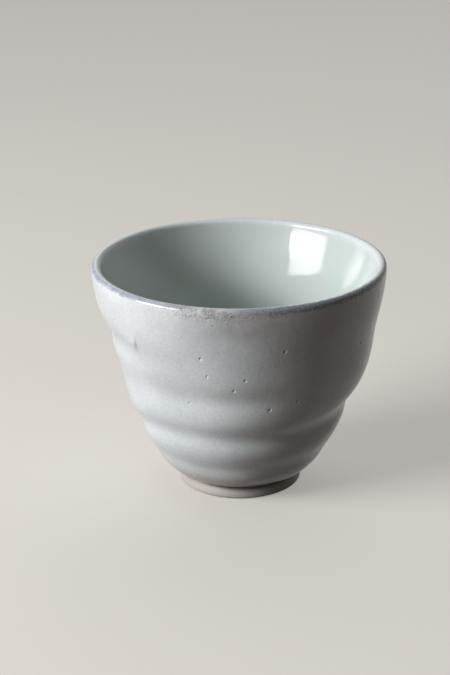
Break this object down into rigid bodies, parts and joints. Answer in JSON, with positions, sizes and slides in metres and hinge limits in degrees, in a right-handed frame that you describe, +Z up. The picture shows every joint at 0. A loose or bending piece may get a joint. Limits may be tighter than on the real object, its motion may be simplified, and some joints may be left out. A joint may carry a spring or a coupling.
{
  "type": "drinking cup",
  "caption": "Small hand-thrown stoneware cup without a handle: a flared wall with finger grooves on a low foot ring, under a pale glaze with a darker lip.",
  "frame": {"origin": "middle of the circle that the foot ring stands on", "axes": "+Z up out of the cup's mouth, +X to the right and -Y towards the viewer of the picture"},
  "size_m": [0.066, 0.066, 0.0524],
  "materials": {
    "clay": "matte",
    "outer_glaze": "satin",
    "inner_glaze": "gloss",
    "lip_glaze": "gloss"
  },
  "bodies": {
    "root": {"clay_body": "clay", "foot_ring": "clay", "outer_glaze": "outer_glaze", "inner_glaze": "inner_glaze", "lip_glaze": "lip_glaze", "foot_glaze": "outer_glaze", "base_glaze": "outer_glaze"}
  },
  "joints": []
}
